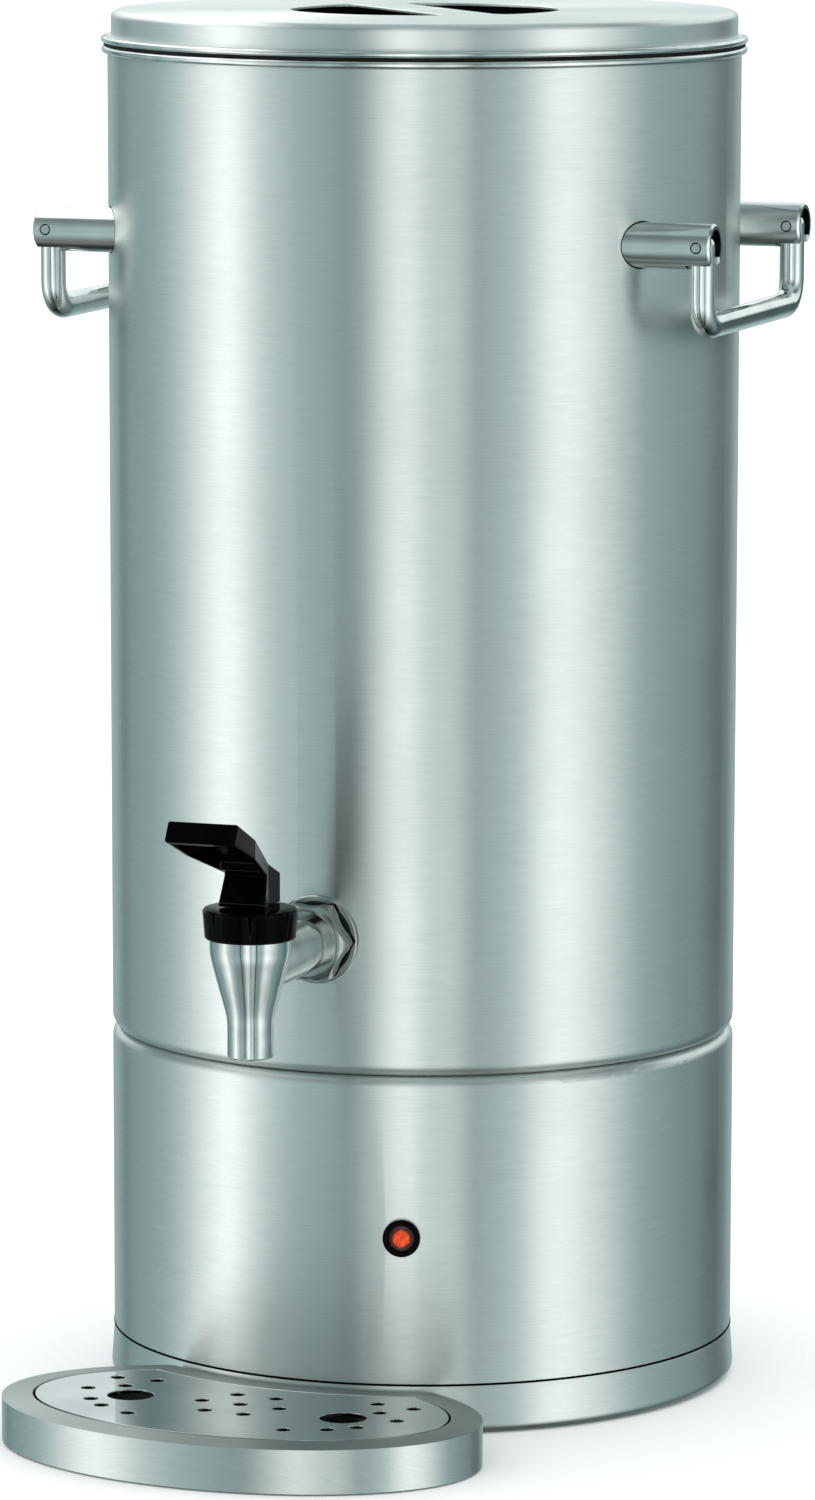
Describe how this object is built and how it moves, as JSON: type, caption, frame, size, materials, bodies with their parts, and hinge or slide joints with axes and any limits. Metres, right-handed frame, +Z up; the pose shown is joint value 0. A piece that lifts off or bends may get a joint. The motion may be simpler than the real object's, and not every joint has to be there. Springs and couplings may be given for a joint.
{
  "type": "hot water urn",
  "caption": "Tall steel hot water urn on a heated base, with a self-closing front tap, drop handles, a lift-off lid and a loose drip tray.",
  "frame": {"origin": "on the tank's vertical axis, level with the bottom of the rubber feet", "axes": "+Z up along the tank, -Y towards the tap, so +X is the right-hand handle seen from the front"},
  "size_m": [0.284, 0.4021, 0.5578],
  "materials": {
    "brushed_steel": "brushed along the rim",
    "satin_steel": "satin",
    "polished_steel": "polished",
    "black_gloss": "gloss",
    "black_matte": "matte",
    "black_rubber": "matte",
    "grey_silicone": "matte",
    "lamp_orange": "translucent",
    "brass": "machined",
    "zinc_steel": "galvanised",
    "copper": "drawn tube",
    "cream_ceramic": "matte"
  },
  "bodies": {
    "urn": {"base_housing": "brushed_steel", "base_ring": "brushed_steel", "bottom_plate": "zinc_steel", "bottom_screws": "zinc_steel", "cable_gland": "black_matte", "dial_nut": "brass", "dial_ring": "satin_steel", "gland_nut": "black_matte", "handle_pin_left_back": "satin_steel", "handle_pin_left_front": "satin_steel", "handle_pin_right_back": "satin_steel", "handle_pin_right_front": "satin_steel", "handle_post_left_back": "brushed_steel", "handle_post_left_front": "brushed_steel", "handle_post_right_back": "brushed_steel", "handle_post_right_front": "brushed_steel", "heater_nuts": "brass", "heater_seals": "grey_silicone", "heating_element": "satin_steel", "lamp_housing": "black_gloss", "lamp_lens": "lamp_orange", "lamp_nut": "black_matte", "overheat_cutout": "black_matte", "probe_gland": "brass", "rubber_feet": "black_rubber", "tank_shell": "brushed_steel", "tap_body": "satin_steel", "tap_collar": "black_gloss", "tap_hex_nut": "polished_steel", "tap_inner_seal": "grey_silicone", "tap_lock_nut": "satin_steel", "tap_outer_seal": "black_rubber", "tap_spring": "polished_steel", "tap_washer": "polished_steel", "terminal_block": "cream_ceramic", "thermostat": "black_matte", "thermostat_probe": "copper"},
    "lid": {"lid_shell": "satin_steel", "lid_skirt": "satin_steel", "lid_seal": "black_rubber", "lid_grip_cup": "black_matte"},
    "bail_left": {"handle_bail_left": "polished_steel"},
    "bail_right": {"handle_bail_right": "polished_steel"},
    "tap_stem_set": {"tap_stem": "satin_steel", "tap_seat_cup": "grey_silicone", "tap_lever_pin": "polished_steel"},
    "tap_lever_arm": {"tap_lever": "black_gloss"},
    "knob": {"thermostat_knob": "black_matte"},
    "tray": {"drip_tray": "brushed_steel", "tray_pads": "black_rubber"},
    "tray_plate": {"drip_plate": "satin_steel"}
  },
  "joints": [
    {"name": "lid_lift", "type": "slide", "parent": "urn", "child": "lid", "axis": [0, 0, 1], "range_m": [0, 0.15]},
    {"name": "bail_left_swing", "type": "hinge", "parent": "urn", "child": "bail_left", "pos_m": [-0.1366, 0, 0.4708], "axis": [0, 1, 0], "range_deg": [0, 90]},
    {"name": "bail_right_swing", "type": "hinge", "parent": "urn", "child": "bail_right", "pos_m": [0.1366, 0, 0.4708], "axis": [0, -1, 0], "range_deg": [0, 90]},
    {"name": "tap_stem_lift", "type": "slide", "parent": "urn", "child": "tap_stem_set", "axis": [0, 0, 1], "range_m": [0, 0.0037], "deforming": ["tap_spring"]},
    {"name": "tap_lever_tilt", "type": "hinge", "parent": "tap_stem_set", "child": "tap_lever_arm", "pos_m": [0, -0.201, 0.232], "axis": [1, 0, 0], "range_deg": [0, 25], "stiffness_Nm_per_rad": 0.1, "springref_deg": -22.92},
    {"name": "knob_turn", "type": "hinge", "parent": "urn", "child": "knob", "pos_m": [0, 0.1365, 0.082], "axis": [0, -1, 0], "range_deg": [0, 270]},
    {"name": "tray_slide", "type": "slide", "parent": "urn", "child": "tray", "axis": [-0.0931, -0.9957, 0], "range_m": [0, 0.2]},
    {"name": "plate_lift", "type": "slide", "parent": "tray", "child": "tray_plate", "axis": [0, 0, 1], "range_m": [0, 0.12]}
  ],
  "couplings": [
    {"joint": "tap_lever_tilt", "follows": "tap_stem_lift", "rad_per_m": 117.6}
  ]
}
